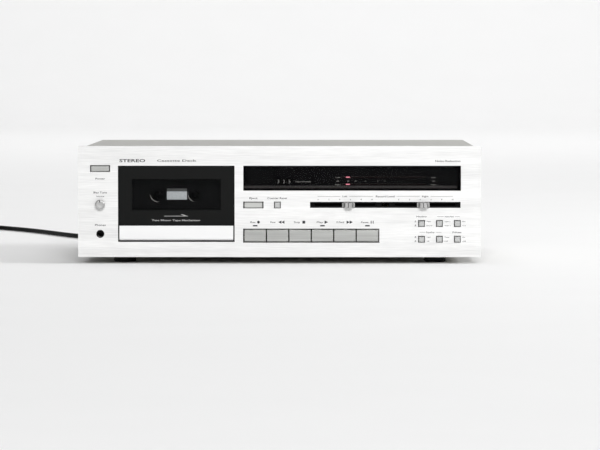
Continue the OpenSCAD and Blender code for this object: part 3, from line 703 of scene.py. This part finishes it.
def torus(name, at, major, minor, start=0.0, sweep=360.0):
    """A ring round an axis along Y, or an arc of one that thins out towards its ends."""
    section = 10
    whole = sweep > 359
    around = 64 if whole else 32
    rings = around if whole else around + 1
    verts, faces = [], []
    for i in range(rings):
        a = math.radians(start + sweep * i / around)
        thin = minor if whole else minor * max(0.15, math.sin(math.pi * i / around))
        for j in range(section):
            b = 2 * math.pi * j / section
            r = major + thin * math.cos(b)
            verts.append((at[0] + r * math.cos(a), at[1] + thin * math.sin(b), at[2] + r * math.sin(a)))
    for i in range(around):
        for j in range(section):
            m, n = (i + 1) % rings, (j + 1) % section
            faces.append((i * section + j, i * section + n, m * section + n, m * section + j))
    if not whole:
        faces.append(tuple(range(section)))
        faces.append(tuple(reversed(range(around * section, (around + 1) * section))))
    return add_mesh(name, verts, faces)


def add_hub_rims():
    """Painted highlight: the bright arc at the lower left of each hub hole of the cassette holder, where the
    hole's chamfered rim catches the light.
    """
    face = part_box("cassette_holder")[1][1] - 0.0013
    for name, node, sweep in (("supply_hub", "supply_spindle", 100), ("takeup_hub", "takeup_spindle", 75)):
        at = middle(node)
        arc = torus(name + "_highlight_arc", (at.x, face - 0.0006, at.z), 0.0087, 0.00045, 182, sweep)
        place(arc, RIM_HIGHLIGHT, "door")


def add_cover():
    """The top cover: one sheet bent down at both sides, with rounded bends."""
    low, high = corners("top_cover")
    sheet, bend = 0.0012, 0.0022

    def outline(inset):
        radius = bend - inset
        left, right, top = low.x + inset, high.x - inset, high.z - inset
        points = [(left, low.z)]
        for corner, start in (((left + radius, top - radius), 180), ((right - radius, top - radius), 90)):
            for k in range(9):
                a = math.radians(start - 90 * k / 8)
                points.append((corner[0] + radius * math.cos(a), corner[1] + radius * math.sin(a)))
        return points + [(right, low.z)]

    section = outline(0) + outline(sheet)[::-1]
    count = len(section)
    verts = [(x, y, z) for y in (low.y, high.y) for x, z in section]
    faces = [(k, (k + 1) % count, count + (k + 1) % count, count + k) for k in range(count)]
    half = count // 2
    for k in range(half - 1):
        a, b, c, d = k, k + 1, count - 2 - k, count - 1 - k
        faces.append((d, c, b, a))
        faces.append((count + a, count + b, count + c, count + d))
    cover = add_mesh("top_cover_bent", verts, faces, smooth=False)
    smooth_bends(cover)
    place(cover, COVER, "deck")
    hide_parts("top_cover")


def smooth_bends(piece):
    """Smooth shading over the bends, with every corner sharper than 24 degrees kept crisp."""
    piece.data.shade_smooth()
    split = piece.modifiers.new("edge_split", "EDGE_SPLIT")
    split.split_angle = math.radians(24)


def add_knob():
    """The bias knob: fine ridges round its side, a rounded edge and a slightly dished face."""
    low, high = corners("bias_knob")
    centre, radius = (low + high) / 2, (high.x - low.x) / 2
    face, back = low.y, low.y + 0.0074
    edge = 0.0015
    rings = [(0.0020, high.y, 0), (0.0020, back, 0), (radius - 0.0003, back, 0), (radius, back - 0.0003, 1),
             (radius, face + edge, 1)]
    for k in range(1, 7):
        a = math.radians(15 * k)
        rings.append((radius - edge + edge * math.cos(a), face + edge - edge * math.sin(a), 0))
    rings += [(radius * 0.45, face + 0.00012, 0), (radius * 0.1, face + 0.0002, 0)]
    around = 120
    verts = []
    for r, y, ridged in rings:
        for k in range(around):
            dip = 0.00018 if ridged and k % 3 == 0 else 0
            a = 2 * math.pi * k / around
            verts.append((centre.x + (r - dip) * math.cos(a), y, centre.z + (r - dip) * math.sin(a)))
    faces = [tuple(reversed(range(around)))]
    for i in range(len(rings) - 1):
        for k in range(around):
            m = (k + 1) % around
            faces.append((i * around + k, i * around + m, (i + 1) * around + m, (i + 1) * around + k))
    faces.append(tuple((len(rings) - 1) * around + k for k in range(around)))
    knob = add_mesh("bias_knob_turned", verts, faces)
    place(knob, KNOB, "bias_knob")
    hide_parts("bias_knob")


def add_slider_knob(node):
    """A level slider: two hollow flanks that rise to a flat tip, and its stem through the slot."""
    low, high = corners(node)
    x, half = (low.x + high.x) / 2, (high.x - low.x) / 2
    tip, foot, tip_half = low.y, FRONT_Y - 0.0011, 0.0035
    brim = foot - 0.0012
    outline = [(-half, foot), (-half, brim)]
    for k in range(1, 9):
        t = k / 9
        outline.append((-half + (half - tip_half) * t ** 0.55, brim - (brim - tip) * t ** 1.7))
    outline.append((-tip_half, tip))
    outline += [(-u, v) for u, v in reversed(outline)]
    bm = bmesh.new()
    bottom = [bm.verts.new((x + u, v, low.z)) for u, v in outline]
    top = [bm.verts.new((x + u, v, high.z)) for u, v in outline]
    bm.faces.new(bottom)
    bm.faces.new(list(reversed(top)))
    for i in range(len(outline)):
        j = (i + 1) % len(outline)
        bm.faces.new((bottom[j], bottom[i], top[i], top[j]))
    bmesh.ops.recalc_face_normals(bm, faces=bm.faces[:])
    bmesh.ops.bevel(bm, geom=[e for e in bm.edges if abs(e.verts[0].co.z - e.verts[1].co.z) < 0.0001],
                    offset=0.0005, segments=2, affect="EDGES", profile=0.5)
    z = (low.z + high.z) / 2
    block(bm, (x - 0.003, foot, z - 0.001), (x + 0.003, high.y, z + 0.001))
    bmesh.ops.recalc_face_normals(bm, faces=bm.faces[:])
    knob = add_bmesh(node + "_shaped", bm)
    place(knob, KNOB, node)
    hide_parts(node)


def add_knob_marks():
    """A dark pointer on the bias knob, and a dark line across the tip of each level slider."""
    low, high = corners("bias_knob")
    x = (low.x + high.x) / 2
    pointer = [((x - 0.0005, low.y - 0.00008, high.z - 0.0031),
                (x + 0.0005, low.y + 0.0006, high.z - 0.0006))]
    place(soft_blocks("bias_pointer", pointer, 0.00004, 1), DARK_INK, "bias_knob")
    for node in SLIDERS:
        low, high = corners(node)
        x = (low.x + high.x) / 2
        line = [((x - 0.0004, low.y - 0.00006, low.z + 0.0002),
                 (x + 0.0004, low.y + 0.0003, high.z - 0.0002))]
        place(soft_blocks(node + "_line", line, 0.00003, 1), DARK_INK, node)


def add_socket_rings():
    """A white ring behind each left phono socket and a red one behind each right one."""
    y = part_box("rear_panel")[1][1] + 0.0006
    for x, column in ((0.120, "in"), (0.142, "out")):
        for z, side, material in ((0.067, "left", WHITE_PLASTIC), (0.045, "right", RED_PLASTIC)):
            ring = torus("line_" + column + "_ring_" + side, (x, y, z), 0.0053, 0.0009)
            place(ring, material)


# ---- mains cord ----------------------------------------------------------------------------------

CORD_D = 0.0056
CORD_Z = 0.003
# the route behind the deck and out of the view, in millimetres
ROUTE = [
    (-190, 175, 40), (-190, 187, 40), (-190, 196.5, 40), (-190, 205, 40), (-190, 217, 38), (-191, 231, 31),
    (-193, 245, 21), (-196, 259, 11), (-201, 274, 5), (-207, 290, 3), (-218, 308, 3), (-238, 330, 3),
    (-261, 357, 3), (-277, 385, 3), (-291, 413, 3), (-304, 440, 3), (-318, 468, 3), (-332, 494, 3),
    (-347, 519, 3), (-362, 542, 3), (-378, 565, 3), (-389, 579, 3)
]
COIL_AT = Vector((-0.428, 0.561, 0))
COIL_OUT = 0.0416
COIL_TURNS = 6.394
COIL_START = math.radians(38.2)
TURN_STEP = 0.0057
LAYER_RISE = 0.0055
POINTS_PER_TURN = 40


def smooth_path(points, steps):
    """A curve through all the points, with steps between each and the next."""
    path = []
    for i in range(len(points) - 1):
        p0 = points[max(i - 1, 0)]
        p1, p2 = points[i], points[i + 1]
        p3 = points[min(i + 2, len(points) - 1)]
        for k in range(steps):
            t = k / steps
            path.append(0.5 * (2 * p1 + (p2 - p0) * t + (2 * p0 - 5 * p1 + 4 * p2 - p3) * t * t
                               + (3 * p1 - 3 * p2 + p3 - p0) * t * t * t))
    path.append(points[-1])
    return path


def coil_points():
    """Two layers of turns: the lower spirals in from the outside, the upper spirals out again."""
    count = int(COIL_TURNS * POINTS_PER_TURN)
    half = COIL_TURNS / 2
    points = []
    for i in range(1, count + 1):
        turn = COIL_TURNS * i / count
        angle = COIL_START + 2 * math.pi * turn
        inward = turn if turn < half else COIL_TURNS - turn
        radius = COIL_OUT - TURN_STEP * inward
        rise = min(1.0, max(0.0, (turn - half + 0.25) / 0.5))
        rise = rise * rise * (3 - 2 * rise)
        points.append(COIL_AT + Vector((
            radius * math.cos(angle), radius * math.sin(angle), CORD_Z + LAYER_RISE * rise)))
    return points


def add_cord():
    route = [Vector(p) * 0.001 for p in ROUTE]
    start = COIL_AT + Vector((COIL_OUT * math.cos(COIL_START), COIL_OUT * math.sin(COIL_START), CORD_Z))
    coil = coil_points()
    plug_low, plug_high = corners("power_plug")
    plug_x = (plug_low.x + plug_high.x) / 2
    tail = [Vector((plug_x, plug_high.y + 0.001, 0.0078)), Vector((plug_x, plug_high.y - 0.006, 0.0073))]
    path = smooth_path(route + [start], 8)[:-1] + [start] + coil + tail
    curve = bpy.data.curves.new("mains_cord", "CURVE")
    curve.dimensions = "3D"
    curve.bevel_depth = CORD_D / 2
    curve.bevel_resolution = 4
    curve.use_fill_caps = True
    spline = curve.splines.new("POLY")
    spline.points.add(len(path) - 1)
    for point, at in zip(spline.points, path):
        point.co = (*at, 1)
    spline.use_smooth = True
    cord = bpy.data.objects.new("mains_cord", curve)
    bpy.context.collection.objects.link(cord)
    place(cord, VINYL)
    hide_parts("power_cord", "power_cord_coil")
    return cord


def add_cord_tie():
    """A flat tie around all the turns, at the side of the coil that faces away from the deck."""
    inner, outer = COIL_OUT - 0.0225, COIL_OUT + 0.0031
    low, high = 0.0001, CORD_Z + LAYER_RISE + 0.0031
    half_width, thick, rounds = 0.0035, 0.0005, 6
    section = []
    corner = 0.0025
    for cx, cz, first in (
            (outer - corner, high - corner, 0), (inner + corner, high - corner, 90),
            (inner + corner, low + corner, 180), (outer - corner, low + corner, 270)):
        for k in range(rounds + 1):
            a = math.radians(first + 90 * k / rounds)
            section.append((cx, cz, math.cos(a), math.sin(a), corner))
    verts, faces = [], []
    n = len(section)
    for side in (-half_width, half_width):
        for shell in (0, thick):
            for cx, cz, ca, sa, r in section:
                verts.append((cx + (r - shell) * ca, side, cz + (r - shell) * sa))
    for k in range(n):
        m = (k + 1) % n
        faces += [
            (k, m, 2 * n + m, 2 * n + k), (n + k, 3 * n + k, 3 * n + m, n + m),
            (k, n + k, n + m, m), (2 * n + k, 2 * n + m, 3 * n + m, 3 * n + k)]
    tie = add_mesh("cord_tie", verts, faces)
    turn = Matrix.Translation(COIL_AT) @ Matrix.Rotation(math.radians(100), 4, "Z")
    tie.data.transform(turn)
    return place(tie, RUBBER)


add_camera()
finish_nodes()
add_key_row_edge()
print_front()
print_lid()
print_display()
print_rear()
add_drum_digits()
add_counter_mask()
add_door_gap()
add_status_lenses()
add_meter_parts()
add_lamp_shade()
add_hub_rims()
add_cover()
add_knob()
for slider in SLIDERS:
    add_slider_knob(slider)
add_knob_marks()
add_socket_rings()
cord = add_cord()
tie = add_cord_tie()


# ---- stage and light -----------------------------------------------------------------------------

def add_stage():
    """A pale sweep: a floor that curves up into a backdrop."""
    half, back, radius, top = 10.0, 8.5, 1.5, 9.0
    profile = [(-9.0, 0.0), (back - radius, 0.0)]
    profile += [(back - radius + radius * math.sin(a), radius - radius * math.cos(a))
                for a in (math.radians(90 * k / 24) for k in range(1, 25))]
    profile += [(back, top)]
    verts = [(x, y, z - 0.0002) for y, z in profile for x in (-half, half)]
    faces = [(2 * i, 2 * i + 1, 2 * i + 3, 2 * i + 2) for i in range(len(profile) - 1)]
    floor = add_mesh("studio_sweep", verts, faces)
    material = grained("studio_paper", (0.86, 0.86, 0.86), 0.85, 300, 0.00001, contrast=0.004, specular=0.1)
    floor.data.materials.append(material)


def add_light(name, location, target, size, energy):
    data = bpy.data.lights.new(name, "AREA")
    data.shape = "RECTANGLE"
    data.size, data.size_y = size
    data.energy = energy
    light = bpy.data.objects.new(name, data)
    light.location = location
    direction = Vector(target) - Vector(location)
    light.rotation_euler = direction.to_track_quat("-Z", "Y").to_euler()
    bpy.context.collection.objects.link(light)


def add_lights():
    world = bpy.data.worlds.new("studio")
    world.use_nodes = True
    background = world.node_tree.nodes["Background"]
    background.inputs["Color"].default_value = (1.0, 1.0, 1.0, 1)
    background.inputs["Strength"].default_value = 0.24
    bpy.context.scene.world = world
    add_light("front_softbox", (0.4, -6.0, 2.4), (0, 0, 0.05), (2.0, 0.8), 188)
    add_light("side_softbox", (3.2, -0.6, 1.7), (0, 0, 0.05), (1.4, 1.0), 66)
    add_light("top_softbox", (0.2, 0.6, 3.2), (0, 0.4, 0), (3.2, 2.4), 44)
    add_light("backdrop_light", (0.9, 4.2, 5.0), (0.9, 8.0, 0.9), (9.0, 2.0), 275)


bpy.context.scene.view_settings.view_transform = "Standard"
add_stage()
add_lights()
